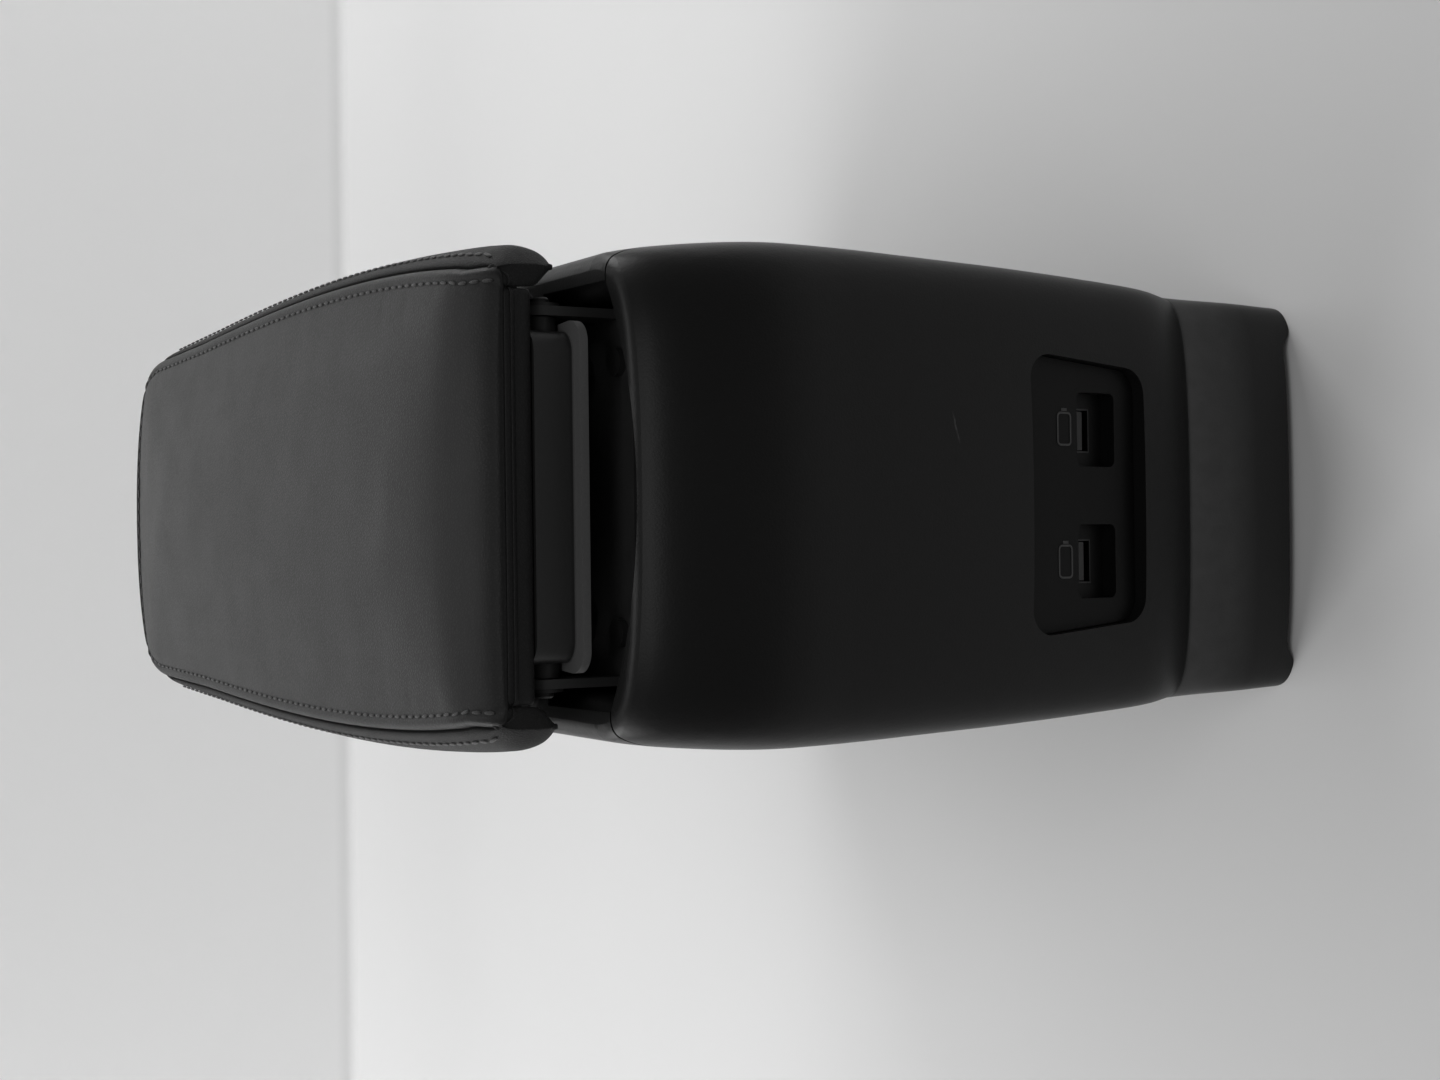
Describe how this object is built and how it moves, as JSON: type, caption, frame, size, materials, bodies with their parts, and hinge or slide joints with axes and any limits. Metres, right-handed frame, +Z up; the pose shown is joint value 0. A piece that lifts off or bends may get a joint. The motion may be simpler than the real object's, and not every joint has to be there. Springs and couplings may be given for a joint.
{
  "type": "car centre armrest",
  "caption": "Car centre console armrest with a padded hinged lid over a storage bin, and charging sockets in its rear panel.",
  "frame": {"origin": "centre of the four floor bolts, on the plane of the floor", "axes": "+X to the car's right, +Y forward towards the front of the lid, +Z up"},
  "size_m": [0.1408, 0.3331, 0.2576],
  "materials": {
    "console_plastic": "fine grain, semi-matt black",
    "lid_leather": "fine grain charcoal leatherette",
    "side_leather": "fine grain dark leatherette",
    "inner_plastic": "matt black moulding",
    "shroud_plastic": "smooth satin black",
    "insert_plastic": "smooth satin black",
    "socket_plastic": "gloss black",
    "tongue_plastic": "satin grey",
    "bright_steel": "satin",
    "coated_steel": "black coating",
    "dark_steel": "dark plating",
    "rubber": "matt",
    "nylon": "natural white",
    "board": "green solder mask"
  },
  "bodies": {
    "console": {"rear_panel": "console_plastic", "left_side_panel": "console_plastic", "right_side_panel": "console_plastic", "front_panel": "console_plastic", "storage_bin": "inner_plastic", "usb_bezel": "insert_plastic", "usb_socket_left": "socket_plastic", "usb_socket_right": "socket_plastic", "power_header": "socket_plastic", "usb_tongue_left": "tongue_plastic", "usb_tongue_right": "tongue_plastic", "usb_shell_left": "bright_steel", "usb_shell_right": "bright_steel", "hinge_pin": "bright_steel", "hinge_bracket": "coated_steel", "base_bracket": "coated_steel", "panel_screws": "dark_steel", "bin_screws": "dark_steel", "hinge_screws": "dark_steel", "bracket_screws": "dark_steel", "pin_clips": "dark_steel", "bin_mat": "rubber", "rubber_stops": "rubber", "charger_board": "board"},
    "lid": {"lid_frame": "inner_plastic", "lid_pad": "lid_leather", "left_side_cover": "side_leather", "right_side_cover": "side_leather", "front_cover": "side_leather", "rear_cover": "lid_leather", "lid_liner": "inner_plastic", "liner_screws": "dark_steel", "hinge_shroud": "shroud_plastic", "shroud_screws": "dark_steel", "left_hinge_arm": "coated_steel", "right_hinge_arm": "coated_steel", "arm_screws": "dark_steel", "hinge_bushes": "nylon"}
  },
  "joints": [
    {"name": "lid_hinge", "type": "hinge", "parent": "console", "child": "lid", "pos_m": [0, -0.085, 0.233], "axis": [1, 0, 0], "range_deg": [0, 75]}
  ]
}
